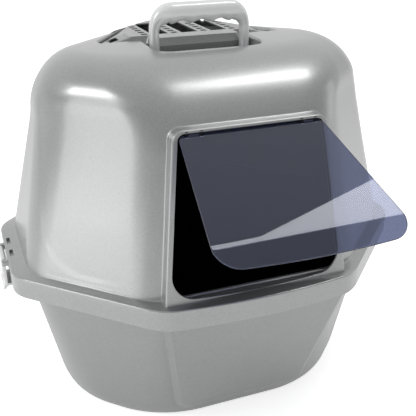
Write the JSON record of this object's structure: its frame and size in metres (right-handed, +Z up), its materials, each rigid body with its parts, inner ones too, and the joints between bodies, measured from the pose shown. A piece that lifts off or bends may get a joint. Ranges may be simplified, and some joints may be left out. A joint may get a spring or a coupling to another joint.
{
  "type": "hooded litter box",
  "caption": "Corner litter box: octagonal pan, domed hood with a leaning doorway and swinging flap, carry handle, vented filter cover and side latches.",
  "frame": {"origin": "underside of the pan's floor, on the plane of symmetry, below the middle of the box", "axes": "+Z up, -Y towards the doorway, +X to the right seen from the front"},
  "size_m": [0.5604, 0.6542, 0.5185],
  "materials": {
    "pan_silver": "silver pearl plastic with fine metal flake",
    "hood_silver": "silver pearl plastic with fine metal flake",
    "smoke_flap": "smoke-blue translucent plastic",
    "pale_handle": "pale silver plastic",
    "cover_silver": "silver pearl plastic",
    "carbon_felt": "carbon felt",
    "pale_latch": "pale silver plastic",
    "pin_steel": "plain steel rod"
  },
  "bodies": {
    "pan_body": {"pan": "pan_silver"},
    "hood_body": {"hood": "hood_silver", "handle": "pale_handle", "filter_pad": "carbon_felt", "latch_pin_left": "pin_steel", "latch_pin_right": "pin_steel"},
    "door_body": {"door": "smoke_flap", "door_pin_left": "pin_steel", "door_pin_right": "pin_steel"},
    "cover_body": {"filter_cover": "cover_silver"},
    "latch_left_body": {"latch_left": "pale_latch"},
    "latch_right_body": {"latch_right": "pale_latch"}
  },
  "joints": [
    {"name": "hood_lift", "type": "slide", "parent": "pan_body", "child": "hood_body", "axis": [0, 0, 1], "range_m": [0, 0.3]},
    {"name": "door_swing", "type": "hinge", "parent": "hood_body", "child": "door_body", "pos_m": [0, -0.19927, 0.4012], "axis": [-1, 0, 0], "range_deg": [-95, 12]},
    {"name": "cover_lift", "type": "slide", "parent": "hood_body", "child": "cover_body", "axis": [0, 0.2425, 0.9701], "range_m": [0, 0.05]},
    {"name": "latch_left_swing", "type": "hinge", "parent": "hood_body", "child": "latch_left_body", "pos_m": [-0.275, -0.008, 0.203], "axis": [0, 1, 0], "range_deg": [0, 75]},
    {"name": "latch_right_swing", "type": "hinge", "parent": "hood_body", "child": "latch_right_body", "pos_m": [0.275, -0.008, 0.203], "axis": [0, -1, 0], "range_deg": [0, 75]}
  ]
}
